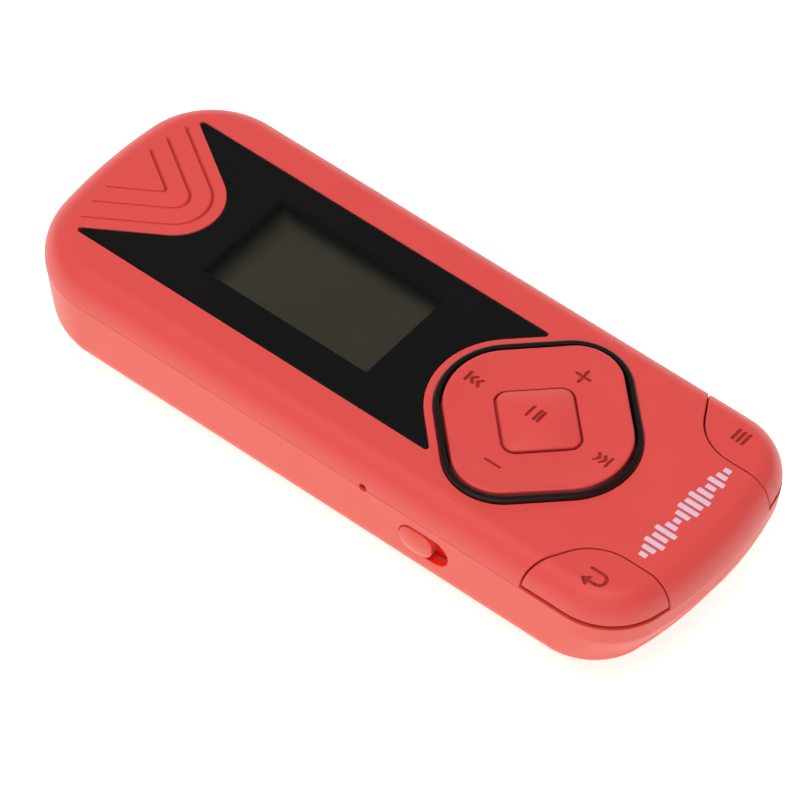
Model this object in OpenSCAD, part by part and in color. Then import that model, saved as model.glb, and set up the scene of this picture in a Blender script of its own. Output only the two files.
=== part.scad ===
// Pocket digital audio player with a rocker pad, corner keys, hold slider and a sprung belt clip.
// +Z points out of the display, +Y towards the notched end, X across. Z = 0 is the clip's outer face.

/* [Body] */
// Width across the parting line
body_w = 31; // [30:0.5:34]
// Length between the two ends at the back, where they are straight walls
body_l = 78.7; // [78:0.1:82]
// How much further the key end reaches where it is widest
key_reach = 1.5; // [0.8:0.1:1.6]
// Height of the casing from its back face to its front face
casing_h = 11.4; // [11.2:0.1:12.5]
// Height of the front shell above the parting line
front_h = 3.6; // [3.5:0.1:3.8]
// Wall thickness of both shells
wall = 1.3; // [1.1:0.1:1.4]
// Corner radius of the notched end
notch_end_r = 9.7; // [8:0.1:11]
// Corner radius of the key end
key_end_r = 7.2; // [7:0.1:8]

/* [Window] */
// Half width of the black window
window_half_w = 10; // [9:0.1:10.5]
// Where the window's sloping notch edges would meet on the centre line
notch_y = 19.8; // [18:0.1:21]
// Rise of a notch edge for each unit of width
notch_slope = 1.515; // [1.3:0.005:1.6]
// Radius of the notch's rounded bottom
notch_r = 5.5; // [4:0.1:6]
// Thickness of the window lens
lens_t = 0.8; // [0.6:0.1:0.9]

/* [Control pad] */
// Centre of the pad along the length
pad_y = -17.3; // [-18:0.05:-16.5]
// Half length of the trim ring across the body
ring_tip_x = 11.91; // [11.5:0.01:12.1]
// Half length of the trim ring along the body
ring_tip_y = 11.06; // [10.8:0.01:11.4]
// Half diagonal of the centre button
button_tip = 5.05; // [4.5:0.05:5.5]
// Height of the pad's rim above the front face
pad_rise = 0.7; // [0.6:0.05:0.9]
// Gap round each moving key
key_gap = 0.15; // [0.12:0.01:0.2]

/* [Belt clip] */
// Thickness of the clip's arm
clip_t = 2; // [1.8:0.1:2.2]
// Gap between the clip's arm and the back face
clip_gap = 1.6; // [1.4:0.1:1.8]
// Width of the clip's arm
clip_w = 12.4; // [11:0.2:12.6]
// Radius of the clip's hinge pin
pin_r = 0.75; // [0.7:0.05:0.8]

/* [Sockets] */
// Radius of the bore that takes a 3.5 mm plug
jack_bore_r = 1.8; // [1.75:0.01:1.85]
// Distance of the headphone jack from the centre line
jack_x = 5; // [4.8:0.1:5.4]

/* [Hidden] */
$fn = 64;
eps = 0.01;

// Heights, counted from the clip's outer face
back_z = clip_t + clip_gap;
face_z = back_z + casing_h;
seam_z = face_z - front_h;
floor_z = back_z + 1.2;
roof_z = face_z - 1.2;
step_z = face_z - 2;
pad_z = face_z + pad_rise;
board_z = seam_z - 1.2;
board_top = board_z + 0.8;
jack_z = board_z - 2.5;

half_w = body_w / 2;
half_l = body_l / 2;
notch_end_bow = 0.36;
key_end_bow = 1;
// How far the rounded edges draw in at the front and at the back
front_round = 2.75;
back_round = 2;
back_draft = 0.3;
// How much further in the front shell's cavity steps beside its rounded edge
step_in = 2.1;
// The lip on the back shell's rim that fits inside the front shell
lip_t = 0.6;
lip_depth = 1;

// Corner keys: a straight side near the centre line, a sloping side, and the arc that joins them
key_side_x = 8.3;
key_slope_deg = 28.8;
key_corner_y = -31.2;
key_blend_r = 5.6;
key_lift = 0.45;

// How far the middle of the pad is hollowed below its rim
dish_depth = 0.45;

// Hold slider, the slot that it runs in and the flange behind the slot
hold_proud = 0.35;
hold_y = -15.25;
hold_z = seam_z - 3.05;
hold_slot_l = 6.1;
hold_slot_h = 3.5;
hold_travel = 1.8;
flange_h = 4.2;
flange_y0 = hold_y - 3.4;
flange_y1 = hold_y + 5;

// Belt clip hinge and the bay that it sits in
pin_y = 16;
pin_z = back_z + 2;
bay_half_w = 6.6;
bay_y0 = 13.2;
bay_y1 = 27.3;
bay_top = back_z + 3.8;
clip_tip_y = -36.4;
clip_tail_y = 26.2;
ear_x = 4.8;
ear_t = 1.6;

// Screws and their bosses
boss_x = 11.3;
boss_ys = [-24.5, 24];
boss_r = 1.9;
screw_r = 0.7;
pilot_r = 0.6;
head_r = 1.4;
head_t = 1;
head_seat = 1.4;

// Microphone
mic_y = -7.6;
mic_z = seam_z + 0.1;
mic_hole_r = 0.4;
mic_r = 1.4;

// Memory card slot
slot_y0 = 2;
slot_l = 11.6;
slot_h = 0.9;

// Nose of the headphone jack, which shows in the end wall
nose_r = 2.85;

// Micro USB socket
usb_x = -5.4;
usb_w = 7.6;
usb_h = 2.6;
usb_sheet = 0.25;

// Display glass, which an opening in the front shell shows
display_c = [0.5, 10.1];
glass_w = 14.4;
glass_l = 22.8;
glass_gap = 0.2;
glass_z = roof_z - 0.6;

// Switches on the board: four under the pad, one in the middle and one under each corner key
switch_r = 7.8;
switch_h = 0.9;
press_gap = 0.3;
corner_switch_x = 10;
corner_switch_y = -31.9;
chip_t = 0.9;

// Battery cell, stuck to the floor with foam tape
tape_t = 0.6;
cell_t = 4;
cell_w = 18.4;
cell_y0 = -30;
cell_y1 = 8.5;
fold_l = 1.7;

red = "#e0554f";
bright_red = "#ee7466";
black = "#191719";

// ---- Outlines ----

function polar(r, a) = [r * cos(a), r * sin(a)];

function arc(c, r, a0, a1, n) = [for (i = [0:n]) c + polar(r, a0 + (a1 - a0) * i / n)];

// The key end reaches out evenly from the top of the back's rounded edge up to full_reach_z
full_reach_z = seam_z - 2.4;
function reach(z) =
    let (low = back_z + back_round)
    key_reach * min(1, max(0, (z - low) / (full_reach_z - low)));

// One bowed end of the body: corner arc, shallow bow, corner arc, from +x to -x
function end_points(corner_r, bow, inset, end_y) =
    let (
        core = half_w - corner_r,
        bow_r = (core * core + bow * bow) / (2 * bow),
        tilt = asin(core / bow_r),
        r = corner_r - inset,
        top = end_y - corner_r
    ) concat(
        arc([core, top - bow], r, 0, 90 - tilt, 10),
        arc([0, top - bow_r], bow_r + r, 90 - tilt, 90 + tilt, 6),
        arc([-core, top - bow], r, 90 + tilt, 180, 10)
    );

// The body's outline seen from the front, drawn in by inset. extra rounds the corners more, those of the
// window's end most, and more_l moves the key end out.
function outline(inset, extra = 0, more_l = 0) = concat(
    end_points(notch_end_r + 1.5 * extra, notch_end_bow, inset, half_l),
    [for (p = end_points(key_end_r + extra, key_end_bow, inset, half_l + more_l)) -p]
);

// A diamond with rounded tips: tip_x and tip_y are its half diagonals
function lozenge(tip_x, tip_y, r_x, r_y) = concat(
    arc([tip_x - r_x, 0], r_x, -45, 45, 8),
    arc([0, tip_y - r_y], r_y, 45, 135, 8),
    arc([r_x - tip_x, 0], r_x, 135, 225, 8),
    arc([0, r_y - tip_y], r_y, 225, 315, 8)
);

function ring_outline(grow) =
    lozenge(ring_tip_x + grow, ring_tip_y + grow, 6 + grow, 8.05 + grow);

function pad_outline(shrink) =
    lozenge(ring_tip_x - 0.63 - shrink, ring_tip_y - 0.74 - shrink, 4.97 - shrink, 7.28 - shrink);

function button_outline(grow) = lozenge(button_tip + grow, button_tip + grow, 1.3 + grow, 1.3 + grow);

// The window: a notch at one end, and an edge that runs beside the trim ring at the other
function window_outline(shrink) =
    let (
        w = window_half_w - shrink,
        lean = atan(notch_slope),
        notch_c = notch_y + notch_r / cos(lean),
        side_y = notch_y + notch_slope * w - shrink / cos(lean),
        near = ring_outline(0.95 + shrink),
        facing = [for (p = near) if (p[1] > 0 && abs(p[0]) < w - 0.6) p + [0, pad_y]],
        apothem = (facing[0][0] + facing[0][1] - pad_y)
    ) concat(
        [[w, side_y]],
        arc([0, notch_c], notch_r + shrink, -(90 - lean), -(90 + lean), 10),
        [[-w, side_y], [-w, pad_y + apothem - w]],
        [for (i = [len(facing) - 1:-1:0]) facing[i]],
        [[w, pad_y + apothem - w]]
    );

module plate(points, z0, z1) {
    translate([0, 0, z0]) linear_extrude(z1 - z0) polygon(points);
}

module pad_plate(points, z0, z1) {
    translate([0, pad_y, z0]) linear_extrude(z1 - z0) polygon(points);
}

module block(x0, x1, y0, y1, z0, z1) {
    translate([x0, y0, z0]) cube([x1 - x0, y1 - y0, z1 - z0]);
}

// A block centred on c = [x, y]
module slab(c, w, l, z0, z1) {
    block(c[0] - w / 2, c[0] + w / 2, c[1] - l / 2, c[1] + l / 2, z0, z1);
}

module rod_x(x0, x1, y, z, r) {
    translate([x0, y, z]) rotate([0, 90, 0]) cylinder(r = r, h = x1 - x0);
}

module rod_y(x, y0, y1, z, r) {
    translate([x, y1, z]) rotate([90, 0, 0]) cylinder(r = r, h = y1 - y0);
}

module rod_z(x, y, z0, z1, r) {
    translate([x, y, z0]) cylinder(r = r, h = z1 - z0);
}

// ---- Casing ----

// The front half of the body as a full solid, its edge rounded over on a quarter ellipse
module front_solid() {
    hull() for (a = [0:15:90])
        let (z = seam_z + (front_h - eps) * sin(a))
        plate(outline(front_round * (1 - cos(a)), 0, reach(z)), z, z + eps);
}

// The back half as a full solid, with a slight draft and a rounded edge at the back
module back_solid() {
    hull() {
        plate(outline(0, 0, key_reach), seam_z - eps, seam_z);
        plate(outline(back_draft / 2, 0.25, key_reach), full_reach_z, full_reach_z + eps);
        for (a = [0:18:90])
            plate(outline(back_draft + back_round * (1 - cos(a)), 0.5),
                back_z + back_round * (1 - sin(a)), back_z + back_round * (1 - sin(a)) + eps);
    }
}

// Plan of a corner key on the +x side, grown by g on its two inner sides
function key_plan(g) =
    let (
        n = [-sin(key_slope_deg), cos(key_slope_deg)],
        u = [cos(key_slope_deg), sin(key_slope_deg)],
        x = key_side_x - g,
        corner = [x, key_corner_y + (g - (x - key_side_x) * n[0]) / n[1]],
        t = key_blend_r * tan((90 - key_slope_deg) / 2),
        c = corner + [key_blend_r, -t]
    ) concat(
        [[x, -half_l - 4]],
        [for (i = [0:8]) c + polar(key_blend_r, 180 - (90 - key_slope_deg) * i / 8)],
        [corner + u * 14, [corner[0] + u[0] * 14, -half_l - 4]]
    );

module key_prism(side, g, z0, z1) {
    pts = key_plan(g);
    mirror([side < 0 ? 1 : 0, 0, 0]) translate([0, 0, z0]) linear_extrude(z1 - z0) polygon(pts);
}

// One engraved chevron, parallel to the window's notch: its arms would meet at point_y and join in an arc
module chevron(end_x, point_y, r) {
    groove_w = 0.26;
    groove_depth = 0.25;
    lean = atan(notch_slope);
    c = [0, point_y + r / cos(lean)];
    end = [end_x, point_y + notch_slope * end_x];
    across = polar(groove_w / 2, 90 + lean);
    translate([0, 0, face_z - groove_depth]) linear_extrude(1) polygon(concat(
        [end - across],
        arc(c, r + groove_w / 2, lean - 90, -lean - 90, 8),
        [[across[0] - end[0], end[1] - across[1]], [-across[0] - end[0], end[1] + across[1]]],
        arc(c, r - groove_w / 2, -lean - 90, lean - 90, 8),
        [end + across]
    ));
}

module front_shell() {
    color(red) difference() {
        union() {
            difference() {
                front_solid();
                plate(outline(wall), seam_z - eps, step_z);
                plate(outline(wall + step_in), step_z - eps, roof_z);
            }
            for (x = [-boss_x, boss_x], y = boss_ys)
                rod_z(x, y, board_z - 2, roof_z + 0.2, boss_r);
        }
        plate(window_outline(0), face_z - lens_t, face_z + 1);
        slab(display_c, glass_w + 2 * glass_gap, glass_l + 2 * glass_gap, step_z, face_z);
        pad_plate(ring_outline(0.03), step_z, face_z + 1);
        for (side = [-1, 1])
            key_prism(side, key_gap, seam_z - eps, face_z + 1);
        chevron(8.2, 22.42, 4.05);
        chevron(5.8, 26.55, 1.8);
        chevron(3.4, 30.4, 0.5);
        for (x = [-boss_x, boss_x], y = boss_ys)
            rod_z(x, y, board_z - 3, roof_z, pilot_r);
        rod_x(-half_w - 1, -half_w + wall + 1, mic_y, mic_z, mic_hole_r);
        block(half_w - wall - lip_t, half_w + 1, slot_y0, slot_y0 + slot_l, seam_z - eps, seam_z + slot_h);
    }
}

// The hold slider's slot through the side wall, with round ends
module hold_slot(x0, x1) {
    r = hold_slot_h / 2;
    run = (hold_slot_l - hold_slot_h) / 2;
    for (y = [hold_y - run, hold_y + run])
        rod_x(x0, x1, y, hold_z, r);
    block(x0, x1, hold_y - run, hold_y + run, hold_z - r, hold_z + r);
}

module back_shell() {
    lip_x = half_w - wall - lip_t;
    color(bright_red) difference() {
        union() {
            difference() {
                back_solid();
                plate(outline(wall), floor_z, seam_z + eps);
            }
            difference() {
                union() {
                    plate(outline(wall - eps), seam_z - lip_depth, seam_z);
                    plate(outline(wall + 0.05), seam_z - lip_depth / 2, seam_z + 0.6);
                }
                plate(outline(wall + lip_t), seam_z - 2, seam_z + 1);
            }
            plate(outline(wall - eps), floor_z - eps, floor_z);
            block(-bay_half_w - 1, bay_half_w + 1, bay_y0 - 1, bay_y1 + 1, floor_z - eps, bay_top + 1);
            for (x = [-boss_x, boss_x], y = boss_ys)
                rod_z(x, y, floor_z - eps, board_z - 2, boss_r);
        }
        block(-bay_half_w, bay_half_w, bay_y0, bay_y1, back_z - 1, bay_top);
        rod_x(-bay_half_w - 0.7, bay_half_w + 0.7, pin_y, pin_z, pin_r);
        for (x = [-boss_x, boss_x], y = boss_ys) {
            rod_z(x, y, back_z - 1, back_z + head_seat, head_r + 0.1);
            rod_z(x, y, back_z, board_z, screw_r + 0.1);
        }
        hold_slot(-half_w - 1, -lip_x + 0.1);
        // The lip makes room for the slider's flange, over its whole travel, and for the microphone
        block(-half_w + wall, -lip_x + 0.1, flange_y0 - hold_travel - 0.25, flange_y1 + 0.15,
            seam_z - lip_depth - 0.1, hold_z + flange_h / 2 + 0.2);
        rod_x(-half_w + wall, -lip_x + 0.1, mic_y, mic_z, mic_r + 0.2);
        rod_x(-half_w - 1, -half_w + wall + 1, mic_y, mic_z, mic_hole_r);
        rod_y(jack_x, half_l - 3.5, half_l + 1, jack_z, nose_r + 0.1);
        block(usb_x - usb_w / 2 - 0.3, usb_x + usb_w / 2 + 0.3, half_l - 4, half_l + 1,
            board_z - usb_h - 0.4, board_z + 0.2);
        block(lip_x - 1, half_w + 1, slot_y0, slot_y0 + slot_l, seam_z, seam_z + slot_h);
    }
}

// ---- Window and display ----

module display_window() {
    color(black) plate(window_outline(0.04), face_z - lens_t, face_z);
}

module display_module() {
    color("#3a372e") union() {
        slab(display_c, glass_w + 1.4, glass_l + 1.8, board_top + 1.3, glass_z);
        slab(display_c, glass_w, glass_l, glass_z - eps, roof_z - 0.1);
    }
}

// A flat cable that leaves the display's end, turns down and lies on the board
module display_flex() {
    x0 = display_c[0] - 4;
    x1 = display_c[0] + 4;
    y_end = display_c[1] - glass_l / 2 - 0.9;
    y_turn = y_end - 1.1;
    flex_t = 0.2;
    color("#b9803a") union() {
        block(x0, x1, y_turn + flex_t, y_end, board_top + 1.6, board_top + 1.6 + flex_t);
        block(x0, x1, y_turn, y_turn + flex_t, board_top + flex_t, board_top + 1.6 + flex_t);
        block(x0, x1, y_turn - 1.5, y_turn + flex_t, board_top, board_top + flex_t);
    }
}

// ---- Control pad and keys ----

module trim_ring() {
    color(black) difference() {
        union() {
            pad_plate(ring_outline(0), roof_z, face_z + 0.3);
            pad_plate(ring_outline(-0.2), face_z, face_z + 0.48);
        }
        pad_plate(pad_outline(0), roof_z - 1, face_z + 1);
    }
}

module control_pad() {
    skirt_z = face_z - 2.2;
    dish_r = 110;
    color(red) difference() {
        union() {
            pad_plate(pad_outline(key_gap), skirt_z, pad_z);
            pad_plate(ring_outline(-0.3), skirt_z, skirt_z + 0.6);
        }
        pad_plate(button_outline(key_gap), skirt_z - 1, pad_z + 1);
        // Room under the pad for the centre button's own skirt
        pad_plate(button_outline(1.5), skirt_z - 1, face_z - 1.2);
        translate([0, pad_y, pad_z - dish_depth + dish_r]) sphere(r = dish_r, $fn = 256);
    }
}

module centre_button() {
    dome_r = 13.7;
    dome_rise = 0.4;
    color(red) union() {
        intersection() {
            pad_plate(button_outline(0), face_z - 2, pad_z + dome_rise + 1);
            translate([0, pad_y, pad_z + dome_rise - dome_r]) sphere(r = dome_r, $fn = 128);
        }
        pad_plate(button_outline(1.1), face_z - 2, face_z - 1.5);
        rod_z(0, pad_y, board_top + switch_h + press_gap, face_z - 2 + eps, 1.2);
    }
}

// A corner key: the part of the front shell that its plan cuts out, hollow below, with a pressing post
module corner_key(side) {
    difference() {
        intersection() {
            front_solid();
            key_prism(side, 0, seam_z + key_lift, face_z + 1);
        }
        plate(outline(wall), seam_z - eps, step_z);
        plate(outline(wall + step_in), step_z - eps, roof_z);
    }
    rod_z(side * corner_switch_x, corner_switch_y, board_top + switch_h + press_gap, roof_z + eps, 1.1);
}

module menu_button() {
    color(red) corner_key(1);
}

module return_button() {
    color(red) corner_key(-1);
}

module pad_membrane() {
    color("#d9d4cc") difference() {
        pad_plate(lozenge(10.2, 9.8, 4.6, 5.4), board_top + 1.2, board_top + 1.5);
        pad_plate(button_outline(1.9), board_top, board_top + 3);
    }
}

module dome_switch(x, y) {
    slab([x, y], 3, 3, board_top, board_top + 0.6);
    rod_z(x, y, board_top, board_top + switch_h, 1);
}

module pad_switches() {
    color("silver") for (a = [0:90:270])
        dome_switch(switch_r * cos(a), pad_y + switch_r * sin(a));
}

module centre_switch() {
    color("silver") dome_switch(0, pad_y);
}

module corner_switches() {
    color("silver") for (side = [-1, 1])
        dome_switch(side * corner_switch_x, corner_switch_y);
}

// ---- Hold slider and microphone ----

module hold_slider() {
    r = hold_slot_h / 2 - 0.25;
    run = hold_slot_l - hold_travel - hold_slot_h;
    y_far = hold_y + hold_slot_l / 2 - hold_slot_h / 2 - 0.05;
    x_in = -half_w + wall + 0.85;
    hold_dome_r = 4;
    color(bright_red) union() {
        for (y = [y_far - run, y_far])
            rod_x(-half_w + 0.05, x_in, y, hold_z, r);
        block(-half_w + 0.05, x_in, y_far - run, y_far, hold_z - r, hold_z + r);
        translate([-half_w - hold_proud + hold_dome_r, y_far - run / 2, hold_z]) intersection() {
            sphere(r = hold_dome_r, $fn = 96);
            rod_x(-hold_dome_r, 1 - hold_dome_r, 0, 0, r);
        }
        block(-half_w + wall + 0.15, x_in, flange_y0, flange_y1,
            hold_z - flange_h / 2, hold_z + flange_h / 2);
        // The finger that carries the switch's lever
        block(x_in - eps, -12.3, y_far - run - 0.5, y_far - run + 0.5, hold_z + 0.2, hold_z + 1);
    }
}

module hold_switch() {
    color("silver") difference() {
        block(-12.9, -10.2, hold_y - 4.2, hold_y + 4.2, board_z - 2.4, board_z);
        block(-13, -11.8, hold_y - 3.2, hold_y + 2.6, hold_z, hold_z + 1.2);
    }
}

module microphone() {
    x0 = -half_w + wall + 0.1;
    color("dimgray") difference() {
        rod_x(x0, x0 + 1.5, mic_y, mic_z, mic_r);
        rod_x(x0 - 0.1, x0 + 0.5, mic_y, mic_z, 0.6);
    }
}

// ---- Board and electronics ----

module main_board() {
    color("#1f5a3a") difference() {
        plate(outline(3.1), board_z, board_top);
        for (x = [-boss_x, boss_x], y = boss_ys)
            rod_z(x, y, board_z - 1, board_top + 1, boss_r + 0.2);
    }
}

module processor() {
    color("#222222") slab([-6, 14.5], 7, 7, board_top, board_top + chip_t);
}

module memory_chip() {
    color("#262626") slab([-6.25, 3.5], 8.5, 8, board_top, board_top + chip_t);
}

module crystal() {
    c = [-9.2, 20];
    color("silver") union() {
        slab(c, 3.2, 2.5, board_top, board_top + 0.3);
        slab(c, 2.8, 2.1, board_top + 0.3 - eps, board_top + 0.8);
    }
}

module battery() {
    cell_z = floor_z + tape_t;
    color("#b8bcc2") union() {
        block(-cell_w / 2, cell_w / 2, cell_y0, cell_y1, cell_z, cell_z + cell_t);
        // The folded end seam, where the leads come out
        block(1 - cell_w / 2, cell_w / 2 - 1, cell_y1 - eps, cell_y1 + fold_l, cell_z + 1.8, cell_z + 3.8);
    }
}

module battery_tape() {
    color("#f0f0e8") block(-7, 7, cell_y0 + 2, cell_y1 - 2.5, floor_z, floor_z + tape_t);
}

module battery_leads() {
    lead_r = 0.35;
    lead_z = floor_z + 4;
    y0 = cell_y1 + fold_l;
    y1 = y0 + 1.4;
    for (i = [0, 1])
        color(i == 0 ? "#b02020" : "#202020") translate([2 * i - 3, 0, 0]) union() {
            rod_y(0, y0, y1, lead_z, lead_r);
            translate([0, y1, lead_z]) sphere(r = lead_r);
            rod_z(0, y1, lead_z, board_z, lead_r);
        }
}

module headphone_jack() {
    back_y = bay_y1 + 1.3;
    front_y = half_l - 2.35;
    nose_y = half_l - 0.45;
    color("#2b2b2b") difference() {
        union() {
            block(jack_x - 3, jack_x + 3, back_y, front_y, board_z - 5, board_z);
            rod_y(jack_x, front_y - 0.1, nose_y, jack_z, nose_r);
        }
        rod_y(jack_x, back_y + 1, nose_y + 1, jack_z, jack_bore_r);
        // Side window where the contact spring shows
        block(jack_x - 4, jack_x - 2.4, 31, 34, jack_z - 0.6, jack_z + 0.6);
    }
}

module jack_contacts() {
    color("gold") for (side = [-1, 1], y = [30.5, 34.5])
        block(jack_x + side * 3.2 - 0.2, jack_x + side * 3.2 + 0.2, y, y + 1.4, jack_z, board_z);
}

module usb_shell() {
    y0 = half_l - 6.2;
    y1 = half_l - 0.7;
    in_w = usb_w / 2 - usb_sheet;
    low = board_z - usb_h;
    color("silver") difference() {
        block(usb_x - usb_w / 2, usb_x + usb_w / 2, y0, y1, low, board_z);
        block(usb_x - in_w, usb_x + in_w, y0 + 0.4, y1 + 1, low + usb_sheet, board_z - usb_sheet);
    }
}

module usb_tongue() {
    y0 = half_l - 5.8;
    color("#222222") union() {
        block(usb_x - usb_w / 2 + usb_sheet, usb_x + usb_w / 2 - usb_sheet, y0, y0 + 1.4,
            board_z - usb_h + usb_sheet, board_z - usb_sheet);
        block(usb_x - 2, usb_x + 2, y0, y0 + 4.4, board_z - 1.2, board_z - 0.65);
    }
}

module card_socket() {
    color("silver") difference() {
        block(0.6, 12.9, slot_y0 - 1.2, slot_y0 + slot_l + 1.2, board_top, board_top + 1.25);
        block(1.2, 14, slot_y0 + 0.2, slot_y0 + slot_l - 0.2, board_top + 0.35, board_top + 1.1);
    }
}

module case_screws() {
    color("#555555") for (x = [-boss_x, boss_x], y = boss_ys)
        difference() {
            union() {
                rod_z(x, y, back_z + head_seat - head_t, back_z + head_seat, head_r);
                rod_z(x, y, back_z + head_seat - eps, board_z - 2, screw_r);
                rod_z(x, y, board_z - 2 - eps, board_z, pilot_r);
            }
            // Cross recess
            slab([x, y], 1.8, 0.3, back_z, back_z + 0.75);
            slab([x, y], 0.3, 1.8, back_z, back_z + 0.75);
        }
}

// ---- Belt clip ----

module belt_clip() {
    tip_r = clip_w / 2 - 0.6;
    arm_x = clip_w / 2;
    arm = concat(
        arc([0, clip_tip_y + tip_r], tip_r, 180, 360, 18),
        [[arm_x, bay_y0 - 6]],
        arc([arm_x - 1.6, clip_tail_y - 1.6], 1.6, 0, 90, 5),
        arc([1.6 - arm_x, clip_tail_y - 1.6], 1.6, 90, 180, 5),
        [[-arm_x, bay_y0 - 6]]
    );
    color(bright_red) difference() {
        union() {
            plate(arm, 0, clip_t);
            for (side = [-1, 1]) {
                rod_x(side * ear_x - ear_t / 2, side * ear_x + ear_t / 2, pin_y, pin_z, 1.7);
                block(side * ear_x - ear_t / 2, side * ear_x + ear_t / 2, pin_y - 1.7, pin_y + 1.7,
                    clip_t - eps, pin_z);
            }
            intersection() {
                rod_x(-4.5, 4.5, clip_tip_y + 4, clip_t - 0.7, 2.1);
                block(-5, 5, clip_tip_y, clip_tip_y + 8, clip_t - eps, back_z);
            }
        }
        rod_x(-clip_w / 2, clip_w / 2, pin_y, pin_z, pin_r + 0.05);
        for (i = [0:3])
            rod_x(-4.2, 4.2, clip_tail_y - 2.6 - 1.5 * i, -0.2, 0.5);
    }
}

module clip_pin() {
    color("silver") rod_x(-bay_half_w - 0.65, bay_half_w + 0.65, pin_y, pin_z, pin_r);
}

module clip_spring() {
    wire = 0.28;
    coil_r = pin_r + 0.15 + wire;
    leg = 6.2;
    color("#9a9a9a") union() {
        for (i = [0:5])
            translate([-1.5 + 0.6 * i, pin_y, pin_z]) rotate([0, 90, 0])
                rotate_extrude() translate([coil_r, 0]) circle(r = wire + 0.04, $fn = 24);
        // One leg lies on the clip's tail, the other against the bay's roof
        translate([-1.5, pin_y, pin_z]) rotate([-20, 0, 0]) rod_y(0, 0, leg, -coil_r, wire);
        translate([1.5, pin_y, pin_z]) rotate([3, 0, 0]) rod_y(0, 0, leg, coil_r, wire);
    }
}

front_shell();
back_shell();
display_window();
display_module();
display_flex();
trim_ring();
control_pad();
centre_button();
menu_button();
return_button();
pad_membrane();
pad_switches();
centre_switch();
corner_switches();
hold_slider();
hold_switch();
microphone();
main_board();
processor();
memory_chip();
crystal();
battery();
battery_tape();
battery_leads();
headphone_jack();
jack_contacts();
usb_shell();
usb_tongue();
card_socket();
case_screws();
belt_clip();
clip_pin();
clip_spring();
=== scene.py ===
import math

import bmesh
import bpy
import numpy as np
from mathutils import Matrix, Vector
from mathutils.geometry import delaunay_2d_cdt


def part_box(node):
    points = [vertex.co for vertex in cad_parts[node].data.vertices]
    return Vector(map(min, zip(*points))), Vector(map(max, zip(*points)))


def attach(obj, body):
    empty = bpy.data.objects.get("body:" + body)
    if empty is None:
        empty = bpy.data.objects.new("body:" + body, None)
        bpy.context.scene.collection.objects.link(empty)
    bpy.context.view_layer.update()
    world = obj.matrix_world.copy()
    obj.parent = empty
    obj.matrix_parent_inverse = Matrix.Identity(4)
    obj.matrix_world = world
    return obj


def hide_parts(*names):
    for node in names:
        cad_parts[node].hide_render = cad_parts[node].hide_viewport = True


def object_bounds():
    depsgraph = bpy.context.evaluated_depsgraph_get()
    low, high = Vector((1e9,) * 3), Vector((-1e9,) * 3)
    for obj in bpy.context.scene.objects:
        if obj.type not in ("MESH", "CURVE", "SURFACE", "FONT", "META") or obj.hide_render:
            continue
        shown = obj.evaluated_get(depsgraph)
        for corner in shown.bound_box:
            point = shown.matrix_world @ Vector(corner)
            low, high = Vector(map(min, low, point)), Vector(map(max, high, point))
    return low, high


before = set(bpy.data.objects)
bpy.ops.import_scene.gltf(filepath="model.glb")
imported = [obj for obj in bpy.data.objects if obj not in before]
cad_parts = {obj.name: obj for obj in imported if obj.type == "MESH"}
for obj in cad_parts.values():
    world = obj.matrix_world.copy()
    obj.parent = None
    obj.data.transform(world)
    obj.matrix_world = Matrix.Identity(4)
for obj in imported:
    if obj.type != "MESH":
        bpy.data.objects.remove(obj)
cad_low, cad_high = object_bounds()
MM = 0.001


def box_mm(node):
    """Lowest and highest corner of a CAD node, in millimetres."""
    low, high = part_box(node)
    return np.array(low) / MM, np.array(high) / MM


# ---- sizes, in millimetres

HALF_W, HALF_L, FACE_Z = box_mm("front_shell")[1]
BACK_Z = box_mm("back_shell")[0][2]
PAD_Z = box_mm("control_pad")[1][2]
DOME_Z = box_mm("centre_button")[1][2]
SEAM_Z = FACE_Z - 3.6
BOARD_Z = box_mm("main_board")[0][2]
WALL = 1.2

NOTCH_END = {"r": 9.7, "bow": 0.36, "extra": 1.1}
KEY_END = {"r": 7.2, "bow": 1, "extra": 0.5}
KEY_REACH = 1.5

PAD_Y = -17.3
RING_APEX = 14.395
RING_R_SIDE = 6
RING_R_END = 8.05
RING_RISE = 0.48
COLLAR = 1.35
COLLAR_EDGE = 0.22
PAD_APEX = 13.335
PAD_R_SIDE = 4.97
PAD_R_END = 7.28
DISH_DEPTH = 0.45
DISH_R = 9.9
BUTTON_TIP = 5.05
BUTTON_R = 1.3
GAP = 0.15

WINDOW_HALF_W = 10
NOTCH_Y = 19.8
NOTCH_SLOPE = 1.515
NOTCH_R = 5.5
WINDOW_MARGIN = 0.95
LENS_T = 0.8
VIEW_X = (-5.95, 6.95)
VIEW_Y = (-0.3, 20.95)
PANEL_X = (-6.7, 7.85)
PANEL_Y = (-1.3, 21.65)

KEY_SIDE_X = 8.3
KEY_CORNER_Y = -31.2
KEY_SLOPE = math.radians(28.8)
KEY_R = 5.6
KEY_LIFT = 0.53

HOLD_Y = -15.25
HOLD_Z = SEAM_Z - 3.05
HOLD_SLOT_L = 6.1
HOLD_SLOT_H = 3.5
HOLD_TRAVEL = 1.8
MIC_Y = -7.6
MIC_Z = SEAM_Z + 0.1
MIC_R = 0.46

JACK_X = 5
JACK_Z = BOARD_Z - 2.5
USB_X = -5.4
BAY_HALF_W = 6.6
BAY_Y = (13.2, 27.3)
BAY_TOP = BACK_Z + 3.8
PIN_Y = 16
PIN_Z = BACK_Z + 2
BOSS_X = 11.3
BOSS_YS = (-24.5, 24)
CLIP_T = 2.0


def unit(vectors):
    """Each row scaled to length 1."""
    return vectors / np.maximum(np.linalg.norm(vectors, axis=1), 1e-9)[:, None]


def add_object(name, data):
    """A new object with that mesh, lamp or camera, in the scene."""
    made = bpy.data.objects.new(name, data)
    bpy.context.scene.collection.objects.link(made)
    return made


# ---- materials


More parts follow.
